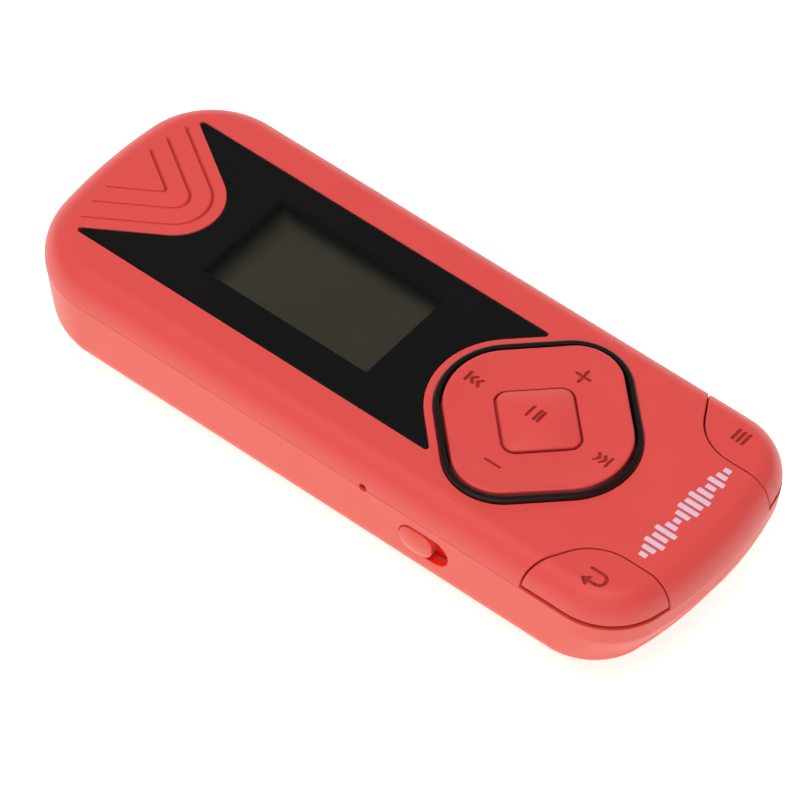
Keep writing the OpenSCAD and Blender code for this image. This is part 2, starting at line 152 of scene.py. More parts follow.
class Nodes:
    """A short way to write a node material."""

    def __init__(self, name):
        self.material = bpy.data.materials.new(name)
        self.material.use_nodes = True
        self.tree = self.material.node_tree
        self.shader = self.tree.nodes["Principled BSDF"]
        self.output = self.tree.nodes["Material Output"]
        self.place = self.add("TexCoord").outputs["Object"]

    def put(self, socket, value):
        """Links another node's output to a socket, or sets the socket's own value."""
        if isinstance(value, bpy.types.NodeSocket):
            self.tree.links.new(value, socket)
        else:
            socket.default_value = value

    def add(self, kind, inputs=None, **settings):
        node = self.tree.nodes.new("ShaderNode" + kind)
        for key, value in settings.items():
            setattr(node, key, value)
        for key, value in (inputs or {}).items():
            self.put(node.inputs[key], value)
        return node

    def set(self, **values):
        for key, value in values.items():
            self.put(self.shader.inputs[key.replace("_", " ")], value)

    def calc(self, operation, *values):
        node = self.add("Math", dict(enumerate(values)), operation=operation)
        return node.outputs[0]

    def noise(self, size_mm, detail=3.0, roughness=0.5):
        node = self.add("TexNoise", {"Vector": self.place, "Scale": 1 / (size_mm * MM),
                                     "Detail": detail, "Roughness": roughness})
        return node.outputs["Fac"]

    def wiped_gloss(self):
        """The roughness of polished acrylic with faint wipe marks."""
        smear = self.add("TexNoise", {"Vector": self.place, "Scale": 160, "Detail": 5.0, "Distortion": 1.4})
        return self.spread(smear.outputs["Fac"], 0.05, 0.11)

    def spread(self, value, low, high):
        """The value, from 0 to 1, spread over low to high."""
        node = self.add("MapRange", {"Value": value, "To Min": low, "To Max": high})
        return node.outputs["Result"]

    def mix(self, factor, a, b):
        node = self.add("Mix", data_type="RGBA")
        self.tree.links.new(factor, node.inputs["Factor"])
        node.inputs["A"].default_value = (*a, 1)
        node.inputs["B"].default_value = (*b, 1)
        return node.outputs["Result"]

    def bump(self, height, depth_mm):
        node = self.add("Bump", {"Height": height, "Distance": depth_mm * MM, "Strength": 1.0})
        return node.outputs["Normal"]

    def surface(self, kind, *inputs):
        """Makes a node of that kind, with those inputs, the material's surface."""
        node = self.add(kind, dict(enumerate(inputs)))
        self.tree.links.new(node.outputs[0], self.output.inputs["Surface"])


def shade(colour, factor):
    return tuple(min(1.0, c * factor) for c in colour)


def moulded_plastic(name, colour, rough=0.42, grain=0.006, grain_mm=0.16):
    """Satin moulded plastic: a fine spark-eroded grain, and slow changes of tone and sheen."""
    n = Nodes(name)
    cloud = n.noise(9, 2)
    fine = n.noise(grain_mm, 2, 0.6)
    n.set(Base_Color=n.mix(cloud, shade(colour, 0.97), shade(colour, 1.03)), IOR=1.48)
    n.set(Roughness=n.spread(n.noise(3, 4), rough - 0.035, rough + 0.035))
    n.set(Normal=n.bump(fine, grain))
    return n.material


def gloss_black():
    """Polished black acrylic with a trace of orange peel and faint wipe marks in its gloss."""
    n = Nodes("gloss_black")
    n.set(Base_Color=n.mix(n.noise(14), (0.0042, 0.0038, 0.004), (0.0058, 0.0054, 0.0054)))
    n.set(Roughness=n.wiped_gloss(), IOR=1.49)
    n.set(Normal=n.bump(n.noise(5, 1), 0.004))
    return n.material


def clear_pane():
    """Thin clear acrylic: it shows what lies behind it, with the same gloss as the black frame."""
    n = Nodes("clear_pane")
    n.tree.nodes.remove(n.shader)
    wave = n.bump(n.noise(5, 1), 0.004)
    edge = n.add("Fresnel", {"IOR": 1.49, "Normal": wave})
    outside = n.calc("SUBTRACT", 1.0, n.add("NewGeometry").outputs["Backfacing"])
    through = n.add("BsdfTransparent", {"Color": (0.88, 0.885, 0.87, 1)})
    gloss = n.add("BsdfGlossy", {"Color": (1, 1, 1, 1), "Normal": wave, "Roughness": n.wiped_gloss()})
    share = n.calc("MULTIPLY", edge.outputs[0], outside)
    n.surface("MixShader", share, through.outputs[0], gloss.outputs[0])
    return n.material


def lcd_glass():
    """An unlit reflective display: grey-olive, with its fine dot rows, a slow change of tone and painted
    shade at its two far edges.
    """
    n = Nodes("lcd_glass")
    pitch = {"Vector": n.place, "Scale": 1 / (0.17 * MM * 6.2832)}
    rows = n.add("TexWave", pitch, wave_type="BANDS", bands_direction="Y")
    columns = n.add("TexWave", pitch, wave_type="BANDS", bands_direction="X")
    dots = n.calc("MULTIPLY", rows.outputs["Fac"], columns.outputs["Fac"])
    cloud = n.noise(11, 2)
    tone = n.calc("MULTIPLY_ADD", dots, cloud, cloud)
    spot = n.add("SeparateXYZ", {"Vector": n.place})
    # Painted shade: the panel darkens over a few millimetres towards its far long edge and its notch end,
    # where the frame's overhang shades it.
    ends = []
    for axis, edge, width in (("X", VIEW_X[1], 2.4), ("Y", VIEW_Y[1], 3.2)):
        fade = n.add("MapRange", {"Value": spot.outputs[axis], "From Min": (edge - width) * MM,
                                  "From Max": (edge - 0.1) * MM}, interpolation_type="SMOOTHSTEP")
        ends.append(fade.outputs["Result"])
    olive = n.mix(tone, (0.050, 0.045, 0.031), (0.065, 0.059, 0.042))
    shaded = n.mix(n.calc("MAXIMUM", *ends), (0, 0, 0), (0.007, 0.007, 0.007))
    n.tree.links.new(olive, shaded.node.inputs["A"])
    n.set(Base_Color=shaded)
    n.set(Roughness=n.spread(n.noise(2), 0.28, 0.36), Normal=n.bump(dots, 0.002))
    return n.material


def rubber_black():
    n = Nodes("trim_black")
    colour = (0.0075, 0.0055, 0.0055)
    n.set(Base_Color=n.mix(n.noise(4), shade(colour, 0.85), shade(colour, 1.2)))
    n.set(Roughness=n.spread(n.noise(0.6, 4), 0.27, 0.35), Normal=n.bump(n.noise(0.12, 2), 0.002))
    return n.material


def ink():
    """Printed lilac-white ink with a soft mottle."""
    n = Nodes("print_ink")
    n.set(Base_Color=n.mix(n.noise(0.35, 4), (0.66, 0.47, 0.60), (0.76, 0.58, 0.70)))
    n.set(Roughness=n.spread(n.noise(0.2), 0.45, 0.6), Normal=n.bump(n.noise(0.1), 0.003))
    return n.material


def metal(name, colour, rough=0.3, streak=(1, 1, 1)):
    """Bare metal with fine drawn lines along one axis."""
    n = Nodes(name)
    stretch = n.add("Mapping", {"Vector": n.place, "Scale": streak})
    lines = n.add("TexNoise", {"Vector": stretch.outputs[0], "Scale": 4000, "Detail": 4.0})
    n.set(Base_Color=n.mix(n.noise(1.5, 4), shade(colour, 0.94), shade(colour, 1.06)), Metallic=1.0)
    n.set(Roughness=n.spread(lines.outputs["Fac"], rough - 0.08, rough + 0.08))
    n.set(Normal=n.bump(lines.outputs["Fac"], 0.004))
    return n.material


def circuit_board():
    """Green solder mask with copper tracks showing through it."""
    n = Nodes("solder_mask")
    mask = {"Color1": (0.010, 0.075, 0.028, 1), "Color2": (0.014, 0.095, 0.036, 1),
            "Mortar": (0.035, 0.16, 0.06, 1)}
    tracks = n.add("TexBrick", {"Vector": n.place, "Scale": 420.0, "Mortar Size": 0.018, **mask})
    n.set(Base_Color=tracks.outputs["Color"])
    n.set(Roughness=n.spread(n.noise(1.2), 0.22, 0.34), Normal=n.bump(tracks.outputs["Fac"], 0.03))
    return n.material


def spotted(name, low, high, size_mm, rough, depth_mm=0.01):
    """A dull surface with a mottle at one scale, for foam, silicone, foil, chips and wire."""
    n = Nodes(name)
    spots = n.noise(size_mm, 5, 0.6)
    n.set(Base_Color=n.mix(spots, low, high), Roughness=n.spread(spots, rough - 0.06, rough + 0.06))
    n.set(Normal=n.bump(spots, depth_mm))
    return n.material


CORAL = (0.715, 0.074, 0.066)
CORAL_BACK = (0.735, 0.079, 0.056)

MATERIALS = {
    "shell": moulded_plastic("coral_shell", CORAL),
    "back": moulded_plastic("coral_back", CORAL_BACK),
    "pad": moulded_plastic("coral_pad", shade(CORAL, 0.98), rough=0.40),
    "key": moulded_plastic("coral_key", shade(CORAL, 0.99), rough=0.38),
    "slider": moulded_plastic("coral_slider", CORAL_BACK, rough=0.36),
    # A saturated red that paints the interreflected shade in recesses: the lip under the keys, the hold
    # slot's lining and the knob's flange.
    "flange": moulded_plastic("vermilion_recess_shade", (0.97, 0.028, 0.011), rough=0.36),
    "clip": moulded_plastic("coral_clip", CORAL_BACK, rough=0.46, grain=0.012, grain_mm=0.3),
    "gloss": gloss_black(),
    "pane": clear_pane(),
    "lcd": lcd_glass(),
    "trim": rubber_black(),
    "gasket": moulded_plastic("black_gasket", (0.006, 0.006, 0.006), rough=0.9),
    # A darker coral that paints shade: in the engraved grooves, and on the ledge seen through the centre
    # button's gap.
    "groove_shade": moulded_plastic("coral_groove", (0.34, 0.026, 0.022), rough=0.6),
    "ink": ink(),
    "steel": metal("steel", (0.62, 0.62, 0.63), streak=(1, 0.05, 1)),
    "spring": metal("spring_steel", (0.42, 0.41, 0.40), rough=0.34, streak=(0.1, 1, 1)),
    "screw": metal("blackened_steel", (0.16, 0.16, 0.17), rough=0.4),
    "capsule": metal("capsule_metal", (0.34, 0.34, 0.33), rough=0.45),
    "gold": metal("gold_plate", (0.83, 0.60, 0.24), rough=0.26),
    "board": circuit_board(),
    "chip": spotted("chip_epoxy", (0.012, 0.012, 0.013), (0.024, 0.024, 0.026), 0.25, 0.55, 0.006),
    "nylon": spotted("black_nylon", (0.014, 0.013, 0.013), (0.022, 0.021, 0.021), 0.5, 0.42, 0.006),
    "cell": spotted("cell_foil", (0.40, 0.42, 0.45), (0.52, 0.54, 0.57), 3.0, 0.33, 0.08),
    "tape": spotted("foam_tape", (0.74, 0.74, 0.68), (0.86, 0.86, 0.80), 0.4, 0.8, 0.05),
    "silicone": spotted("silicone", (0.60, 0.57, 0.52), (0.72, 0.69, 0.64), 2.0, 0.5),
    "flex": spotted("polyimide", (0.40, 0.17, 0.03), (0.52, 0.25, 0.06), 1.2, 0.3),
    "wire": spotted("wire_jacket", (0.26, 0.02, 0.02), (0.36, 0.04, 0.04), 0.8, 0.45),
}


def dress(piece, material, replaced=(), body="casing"):
    """Gives a piece its material and slot, the CAD nodes it stands for and the body that it rides on."""
    mesh = piece.data
    index = [f.material_index for f in mesh.polygons]
    mesh.materials.clear()
    mesh.materials.append(MATERIALS[material])
    # Faces that skin marked take a second slot: the darker coral that paints the shade in engraved grooves.
    if any(index):
        mesh.materials.append(MATERIALS["groove_shade"])
        mesh.polygons.foreach_set("material_index", index)
    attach(piece, body)
    if replaced:
        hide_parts(*replaced)


# ---- plan outlines


def rounded(corners, turn=7.5):
    """A closed outline through corners (x, y, radius), each rounded with an arc; turn is the arc's step."""
    points = []
    for k, (x, y, r) in enumerate(corners):
        before, here, after = (np.array(corners[j % len(corners)][:2], float) for j in (k - 1, k, k + 1))
        u, v = unit(np.array([before - here, after - here]))
        half = math.acos(max(-1, min(1, u @ v))) / 2
        middle = (u + v) / np.linalg.norm(u + v)
        centre = here + middle * r / math.sin(half)
        start = here + u * r / math.tan(half) - centre
        end = here + v * r / math.tan(half) - centre
        first = math.atan2(start[1], start[0])
        sweep = (math.atan2(end[1], end[0]) - first + math.pi) % (2 * math.pi) - math.pi
        steps = max(2, math.ceil(abs(math.degrees(sweep)) / turn - 0.01))
        for j in range(steps + 1):
            a = first + sweep * j / steps
            points.append(centre + r * np.array([math.cos(a), math.sin(a)]))
    return np.array(points)


def rectangle(x0, x1, y0, y1, r):
    return rounded([(x1, y0, r), (x1, y1, r), (x0, y1, r), (x0, y0, r)])


def circle(x, y, r, steps=32):
    a = np.arange(steps) * 2 * math.pi / steps
    return np.c_[x + r * np.cos(a), y + r * np.sin(a)]


def lozenge(apex, r_side, r_end, grow=0.0):
    """A diamond with rounded tips round the pad's centre. apex is where its sides would meet."""
    reach = apex + grow * math.sqrt(2)
    tips = [(reach, PAD_Y, r_side + grow), (0, PAD_Y + reach, r_end + grow),
            (-reach, PAD_Y, r_side + grow), (0, PAD_Y - reach, r_end + grow)]
    return rounded(tips, 5.0)


def ring_outline(grow):
    return lozenge(RING_APEX, RING_R_SIDE, RING_R_END, grow)


def pad_outline(shrink):
    return lozenge(PAD_APEX, PAD_R_SIDE, PAD_R_END, -shrink)


def button_outline(grow):
    apex = BUTTON_TIP + BUTTON_R * (math.sqrt(2) - 1)
    return lozenge(apex, BUTTON_R, BUTTON_R, grow)


def window_outline(shrink):
    """The window: notched at one end, and following the trim ring at the other."""
    lean = math.atan(NOTCH_SLOPE)
    w = WINDOW_HALF_W - shrink
    notch = NOTCH_Y - shrink / math.cos(lean)
    near = PAD_Y + RING_APEX + (WINDOW_MARGIN + shrink) * math.sqrt(2)
    tip_r = 0.35
    return rounded([(w, near - w, tip_r), (w, notch + NOTCH_SLOPE * w, tip_r), (0, notch, NOTCH_R + shrink),
                    (-w, notch + NOTCH_SLOPE * w, tip_r), (-w, near - w, tip_r),
                    (0, near, RING_R_END + WINDOW_MARGIN + shrink)], 5.0)


def chevron_line(end_x, point_y, r):
    """The line of an engraved chevron, parallel to the window's notch."""
    lean = math.atan(NOTCH_SLOPE)
    centre_y = point_y + r / math.cos(lean)
    arc = [(r * math.sin(a), centre_y - r * math.cos(a)) for a in np.linspace(-lean, lean, 17)]
    outer = (end_x, point_y + NOTCH_SLOPE * end_x)
    return np.array([(-outer[0], outer[1]), *arc, outer])


def key_outline(side, grow):
    """Plan of a corner key: a side near the centre line, a blend and a sloping side, far past the body."""
    n = np.array([-math.sin(KEY_SLOPE), math.cos(KEY_SLOPE)])
    x = KEY_SIDE_X - grow
    corner_y = KEY_CORNER_Y + (grow - (x - KEY_SIDE_X) * n[0]) / n[1]
    reach = 14
    far_x = x + reach * math.cos(KEY_SLOPE)
    far_y = corner_y + reach * math.sin(KEY_SLOPE)
    pts = rounded([(x, corner_y, KEY_R + grow), (x, -HALF_L - 4, 0.01), (far_x, -HALF_L - 4, 0.01),
                   (far_x, far_y, 0.01)], 4.0)
    if side < 0:
        pts = pts[::-1] * [-1, 1]
    return pts


# ---- the body's rounded skin


def end_arcs(r, bow):
    """For an end: where its corners' centres lie, its bow's radius, and the angle where the two meet."""
    core = HALF_W - r
    bow_r = (core ** 2 + bow ** 2) / (2 * bow)
    return core, bow_r, math.pi / 2 - np.arcsin(core / bow_r)


def rim(points):
    """How far each plan point lies outside the body's outline, negative inside, and the way outward."""
    sign = np.where(points < 0, -1.0, 1.0)
    ax, ay = np.abs(points).T
    notch = points[:, 1] > 0
    r = np.where(notch, NOTCH_END["r"], KEY_END["r"])
    bow = np.where(notch, NOTCH_END["bow"], KEY_END["bow"])
    core, bow_r, limit = end_arcs(r, bow)
    to_corner = np.c_[ax - core, ay - (HALF_L - r - bow)]
    to_bow = np.c_[ax, ay - (HALF_L - r - bow_r)]
    on_side = to_corner[:, 1] <= 0
    on_bow = ~on_side & (np.arctan2(to_corner[:, 1], to_corner[:, 0]) > limit)
    outside = np.select([on_side, on_bow], [ax - HALF_W, np.linalg.norm(to_bow, axis=1) - bow_r - r],
                        np.linalg.norm(to_corner, axis=1) - r)
    outward = np.where(on_bow[:, None], unit(to_bow), unit(to_corner))
    return outside, np.where(on_side[:, None], [1.0, 0.0], outward) * sign


def rim_line(inset):
    """The body's outline drawn in by inset, or grown where inset is negative, counter-clockwise."""
    points = []
    for sign, end in ((1, NOTCH_END), (-1, KEY_END)):
        r, bow = end["r"], end["bow"]
        core, bow_r, limit = end_arcs(r, bow)
        corner = np.array([core, HALF_L - r - bow])
        middle = np.array([0, HALF_L - r - bow_r])
        a = np.linspace(0, limit, 15)
        b = np.linspace(limit, math.pi - limit, 9)[1:-1]
        right = corner + (r - inset) * np.c_[np.cos(a), np.sin(a)]
        top = middle + (bow_r + r - inset) * np.c_[np.cos(b), np.sin(b)]
        points += [sign * p for p in (right, top, (right * [-1, 1])[::-1])]
    return np.concatenate(points)


def key_end_shift(y, z):
    """How much further out the key end stands. It grows from y = -22 to -30, and shrinks near the back."""
    rise = np.clip((z - BACK_Z - 2) / (SEAM_Z - 2.4 - BACK_Z - 2), 0, 1)
    t = np.clip((-22 - y) / 8, 0, 1)
    return KEY_REACH * rise * (t * t * (3 - 2 * t))


def ring_distance(plan):
    """Signed distance from the trim ring's outline, good near it."""
    x = np.abs(plan[:, 0])
    y = np.abs(plan[:, 1] - PAD_Y)
    past_x = x - RING_APEX + RING_R_SIDE * math.sqrt(2)
    past_y = y - RING_APEX + RING_R_END * math.sqrt(2)
    tips = [np.hypot(past_x, y) - RING_R_SIDE, np.hypot(x, past_y) - RING_R_END]
    return np.select([past_x > y, past_y > x], tips, (x + y - RING_APEX) / math.sqrt(2))


def collar_drop(plan):
    """How far below the face the flat collar round the trim ring lies; it falls away outside the collar."""
    t = np.clip((ring_distance(plan) - COLLAR) / COLLAR_EDGE, 0, 1)
    return 0.004 + 6 * t * t


class Rim:
    """A shell whose flat face rolls over a rounded edge into a side wall, unrolled onto a plane.

    profile lists (inset, z) from the flat face's edge to the seam. A point of the plane that lies s beyond
    the flat face's edge is the point s along that profile."""

    def __init__(self, profile, facing, end_extra):
        self.inset, self.z = np.array(profile, float).T
        steps = np.hypot(np.diff(self.inset), np.diff(self.z))
        self.s = np.concatenate([[0], np.cumsum(steps)])
        self.flat = self.inset[0]
        self.facing = facing
        self.end_extra = end_extra

    def place(self, p):
        outside, outward = rim(p)
        s = np.clip(outside + self.flat, 0, None)
        inset = np.interp(s, self.s, self.inset)
        z = np.interp(s, self.s, self.z)
        move = np.where(s > 0, -outside - inset, 0)
        if self.end_extra:
            extra = np.where(p[:, 1] > 0, NOTCH_END["extra"], KEY_END["extra"])
            share = np.clip((SEAM_Z - z) / (SEAM_Z - BACK_Z - 2), 0, 1)
            fade = 5
            near = np.clip(1 + (outside + self.flat) / fade, 0, 1)
            move = move - extra * share * near * (np.abs(outward).sum(1) - 1)
        found = np.c_[p + outward * move[:, None], z]
        found[:, 1] -= key_end_shift(p[:, 1], z)
        if self.facing > 0:
            found[:, 2] = np.maximum(z, FACE_Z - collar_drop(found[:, :2]))
        return found

    def unroll(self, plan):
        """The plane's points for plan points, where a cut goes straight down through the skin."""
        target = plan
        plan = plan.copy()
        for _ in range(12):
            plan[:, 1] = target[:, 1] + key_end_shift(plan[:, 1], self.z[0])
        outside, outward = rim(plan)
        inset = -outside
        s = np.interp(inset, self.inset[::-1], self.s[::-1])
        s = np.where(inset < self.inset[-1], self.s[-1] - inset + self.inset[-1], s)
        move = np.where(inset < self.flat, inset + s - self.flat, 0)
        return plan + outward * move[:, None]

    def on_wall(self, plan, z):
        """The plane's points for points of the side wall: plan is near the outline, and z is the height."""
        outside, outward = rim(plan)
        order = -self.facing
        s = np.interp(z, self.z[::order], self.s[::order])
        return plan + outward * (s - self.flat - outside)[:, None]

    def lines(self, count):
        """Lines of the plane that follow the outline, from the flat face's edge to the seam."""
        return [rim_line(self.flat - s) for s in np.linspace(0, self.s[-1], count)]


def dense(line, step=0.3, closed=True):
    """The same line with a point at least every step."""
    ends = np.roll(line, -1, 0) if closed else line[1:]
    points = []
    for a, b in zip(line, ends):
        count = max(1, math.ceil(np.linalg.norm(b - a) / step))
        points += [a + (b - a) * j / count for j in range(count)]
    if not closed:
        points.append(line[-1])
    return np.array(points)


def parallel(outline, t):
    """A closed outline moved t towards its left-hand side."""
    step = np.roll(outline, -1, 0) - outline
    keep = np.linalg.norm(step, axis=1) > 1e-5
    outline = outline[keep]
    ahead = unit(np.roll(outline, -1, 0) - outline)
    left = np.c_[-ahead[:, 1], ahead[:, 0]]
    middle = unit(left + np.roll(left, 1, 0))
    return outline + middle * (t / np.maximum(0.6, (middle * left).sum(1)))[:, None]


ON_LINE = 0.012   # a point this near a line counts as on it


def nearest(points, line, closed=True):
    """Distance from each point to a line, and the unit step towards it, or to its left on the line."""
    a = line if closed else line[:-1]
    b = np.roll(line, -1, 0) if closed else line[1:]
    keep = np.linalg.norm(b - a, axis=1) > 1e-6
    a, b = a[keep], b[keep]
    d = b - a
    size = (d ** 2).sum(1)
    distance = np.empty(len(points))
    step = np.empty((len(points), 2))
    for i in range(0, len(points), 2000):
        p = points[i:i + 2000, None]
        t = np.clip(((p - a) * d).sum(2) / size, 0, 1)
        away = a + t[..., None] * d - p
        far = np.linalg.norm(away, axis=2)
        k = far.argmin(1)
        rows = np.arange(len(k))
        best = far[rows, k]
        left = np.c_[-d[k, 1], d[k, 0]] / np.sqrt(size[k])[:, None]
        towards = away[rows, k] / np.maximum(best, 1e-9)[:, None]
        distance[i:i + 2000] = best
        step[i:i + 2000] = np.where((best > ON_LINE)[:, None], towards, left)
    return distance, step


def inside(points, outline):
    """Which points lie inside a closed outline."""
    x, y = points.T
    hit = np.zeros(len(points), bool)
    for (x0, y0), (x1, y1) in zip(outline, np.roll(outline, -1, 0)):
        if y0 != y1:
            crosses = (y0 > y) != (y1 > y)
            hit ^= crosses & (x < (x1 - x0) * (y - y0) / (y1 - y0) + x0)
    return hit


class Cut:
    """An edge of a skin: a hole's outline, or the skin's own. round_r is how far the edge is rounded."""

    def __init__(self, outline, round_r, hole=True):
        self.outline = outline
        self.round_r = round_r
        self.hole = hole

    def lines(self):
        side = -1 if self.hole else 1
        rows = [parallel(self.outline, side * self.round_r * k) for k in (0.12, 0.35, 0.65, 1)]
        return [self.outline] + rows


class Stroke:
    """An engraved line: full depth over half_w each side, then a slope out to half_w + slope."""

    def __init__(self, line, half_w=0.09, slope=0.11, depth=0.3):
        self.line = dense(np.array(line, float), 0.12, closed=False)
        self.half_w = half_w
        self.slope = slope
        self.depth = depth

    def points(self):
        reach = self.half_w + self.slope
        offsets = reach * np.linspace(-1.25, 1.25, 11)
        ahead = unit(np.gradient(self.line, axis=0))
        left = np.c_[-ahead[:, 1], ahead[:, 0]]
        found = [self.line + left * t for t in offsets]
        for end, away in ((self.line[0], -ahead[0]), (self.line[-1], ahead[-1])):
            base = math.atan2(away[1], away[0])
            a = base + np.radians(np.arange(-75, 76, 25))
            found += [end + t * np.c_[np.cos(a), np.sin(a)] for t in offsets[6:]]
        return np.concatenate(found)


def grid_inside(edge, middle, half_x, half_y, step, margin):
    """Grid points at least margin inside an outline."""
    grid = np.mgrid[-half_x:half_x + 0.01:step, -half_y:half_y + 0.01:step].reshape(2, -1).T + middle
    away, _ = nearest(grid, edge)
    return grid[inside(grid, edge) & (away > margin)]


def base_frame(place, points, facing):
    """The skin's normal at each plane point, and where a step along the plane's x and y leads."""
    h = 0.03
    dx = place(points + [h, 0]) - place(points - [h, 0])
    dy = place(points + [0, h]) - place(points - [0, h])
    normal = unit(np.cross(dx, dy) * facing)
    return normal, dx / (2 * h), dy / (2 * h)


def skin(name, place, cuts, depth, facing=1, strokes=(), lines=(), extra_points=(), shade_reach=None):
    """A closed shell part: the surface place(points), cut, engraved and rounded, with a wall of that depth.

    The plane is triangulated along every edge and feature, and the shading normals come from the
    formulas. Where the last argument is given, the strokes' faces out to that share of their slope take a
    second, darker material: painted shade in the engraved grooves."""
    verts, edges = [], []
    constraint = [line for cut in cuts for line in cut.lines()] + list(lines)
    for line in constraint:
        first = len(verts)
        verts += [Vector(p) for p in line]
        edges += [(first + k, first + (k + 1) % len(line)) for k in range(len(line))]
    for points in [stroke.points() for stroke in strokes] + [extra_points]:
        verts += [Vector(p) for p in points]
    plane, _, faces, _, _, _ = delaunay_2d_cdt(verts, edges, [], 0, 1e-4)
    p = np.array([tuple(v) for v in plane])
    tri = np.array([f for f in faces if len(f) == 3])
    keep = np.ones(len(tri), bool)
    for cut in cuts:
        keep &= inside(p[tri].mean(1), cut.outline) != cut.hole
    u, v, w = p[tri].transpose(1, 0, 2)
    area = (v - u)[:, 0] * (w - u)[:, 1] - (v - u)[:, 1] * (w - u)[:, 0]
    keep &= np.abs(area) > 1e-9
    tri, area = tri[keep], area[keep]
    tri[area < 0] = tri[area < 0][:, ::-1]
    used, tri = np.unique(tri, return_inverse=True)
    tri = tri.reshape(-1, 3)
    p = p[used]

    base = place(p)
    flat_normal, dx, dy = base_frame(place, p, facing)
    drop = np.zeros(len(p))
    normal = flat_normal.copy()

    def lean(mask, step, sine, cosine):
        """Tilts the normals towards a step of the plane."""
        e = unit(step[:, :1] * dx + step[:, 1:] * dy)
        tilted = unit(flat_normal * cosine[:, None] + e * sine[:, None])
        normal[mask] = tilted[mask]

    for stroke in strokes:
        t, step = nearest(p, stroke.line, closed=False)
        x = np.clip((t - stroke.half_w) / stroke.slope, 0, 1)
        dip = stroke.depth * (1 - x * x * (3 - 2 * x))
        steep = stroke.depth * 6 * x * (1 - x) / stroke.slope
        deeper = dip > drop
        drop = np.maximum(drop, dip)
        lean(deeper & (x > 0), step, steep, np.ones(len(p)))
    for cut in cuts:
        t, step = nearest(p, cut.outline)
        if not cut.hole:
            step = np.where((t <= ON_LINE)[:, None], -step, step)
        sine = np.clip(1 - t / cut.round_r, 0, 1)
        dip = cut.round_r * (1 - np.sqrt(1 - sine ** 2))
        deeper = dip > drop
        drop = np.maximum(drop, dip)
        lean(deeper, step, sine, np.sqrt(1 - sine ** 2))
    outer = base - flat_normal * drop[:, None]
    inner = base - flat_normal * depth

    count = len(p)
    open_edges = {}
    for a, b, c in tri:
        for e in ((a, b), (b, c), (c, a)):
            if not open_edges.pop(e[::-1], False):
                open_edges[e] = True
    walls = np.array([(b, a, a + count, b + count) for a, b in open_edges])
    polys = [tuple(t) for t in tri] + [tuple(t[::-1] + count) for t in tri] + [tuple(q) for q in walls]
    if facing < 0:
        polys = [q[::-1] for q in polys]
    mesh = bpy.data.meshes.new(name)
    mesh.from_pydata((np.concatenate([outer, inner]) * MM).tolist(), [], polys)
    mesh.update()
    mesh.polygons.foreach_set("use_smooth", [True] * len(mesh.polygons))
    # Painted shade: faces near a stroke's middle take the second, darker material.
    if shade_reach is not None:
        centre = p[tri].mean(1)
        away = np.min([nearest(centre, k.line, closed=False)[0] - k.half_w - shade_reach * k.slope
                       for k in strokes], axis=0)
        index = np.zeros(len(mesh.polygons), np.int32)
        index[:len(tri)] = away < 0
        mesh.polygons.foreach_set("material_index", index)

    # Shading normals: the formula's on the skin, the wall's own on the walls
    wall_normal = np.zeros((count, 3))
    face_normal = np.array([f.normal for f in mesh.polygons])[2 * len(tri):]
    np.add.at(wall_normal, walls[:, :2], face_normal[:, None])
    wall_normal = unit(wall_normal)
    loop_vertex = np.array([l.vertex_index for l in mesh.loops])
    split = np.concatenate([normal, -flat_normal])[loop_vertex]
    start = 6 * len(tri)
    split[start:] = wall_normal[loop_vertex[start:] % count]
    flat_walls = np.repeat(face_normal, 4, axis=0)
    sharp = (split[start:] * flat_walls).sum(1) < 0.8
    split[start:][sharp] = flat_walls[sharp]
    mesh.normals_split_custom_set(split.tolist())
    return add_object(name, mesh)


def level(outline, z):
    return np.c_[outline, np.full(len(outline), float(z))]


def flat(z):
    """A place function for a flat face at height z."""
    return lambda p: level(p, z)


def smooth_piece(name, bm, degrees):
    """A piece from a bmesh, shaded smooth, with edges sharper than that angle kept sharp."""
    bm.normal_update()
    for face in bm.faces:
        face.smooth = True
    for edge in bm.edges:
        if len(edge.link_faces) == 2 and edge.calc_face_angle() > math.radians(degrees):
            edge.smooth = False
    mesh = bpy.data.meshes.new(name)
    bm.to_mesh(mesh)
    bm.free()
    return add_object(name, mesh)


def loft(name, loops, closed=False, smooth_deg=50):
    """A mesh through rings of points (mm). The ends are capped, or joined to each other where closed."""
    count = len(loops[0])
    rows = len(loops)
    faces = []
    for j in range(rows if closed else rows - 1):
        for k in range(count):
            a, b = j * count, (j + 1) % rows * count
            n = (k + 1) % count
            faces.append((a + k, a + n, b + n, b + k))
    if not closed:
        faces.append(tuple(range(count))[::-1])
        faces.append(tuple((rows - 1) * count + k for k in range(count)))
    bm = bmesh.new()
    verts = [bm.verts.new(v) for v in (np.concatenate(loops) * MM).tolist()]
    for face in faces:
        bm.faces.new([verts[k] for k in face])
    bm.normal_update()
    bmesh.ops.recalc_face_normals(bm, faces=bm.faces)
    return smooth_piece(name, bm, smooth_deg)


def stack(name, rings, closed=False):
    """A loft through level rings, given as (outline, z)."""
    return loft(name, [level(outline, z) for outline, z in rings], closed)


def soft_box(name, low, high, round_r):
    """A block with rounded edges."""
    low, high = np.array(low, float), np.array(high, float)
    bm = bmesh.new()
    bmesh.ops.create_cube(bm, size=1)
    for vert in bm.verts:
        vert.co = Vector(((low + high) / 2 + np.array(vert.co) * (high - low)) * MM)
    bmesh.ops.bevel(bm, geom=bm.edges[:], offset=round_r * MM, segments=3, profile=0.5,
                    affect="EDGES", clamp_overlap=True)
    return smooth_piece(name, bm, 40)


# ---- casing


def ellipse_profile(inset, rise, z_start, z_dir):
    """(inset, z) points that roll from a flat face at z_start over a quarter ellipse."""
    a = np.linspace(0, math.pi / 2, 49)
    return [(inset * (1 - math.sin(t)), z_start - z_dir * rise * (1 - math.cos(t))) for t in a]


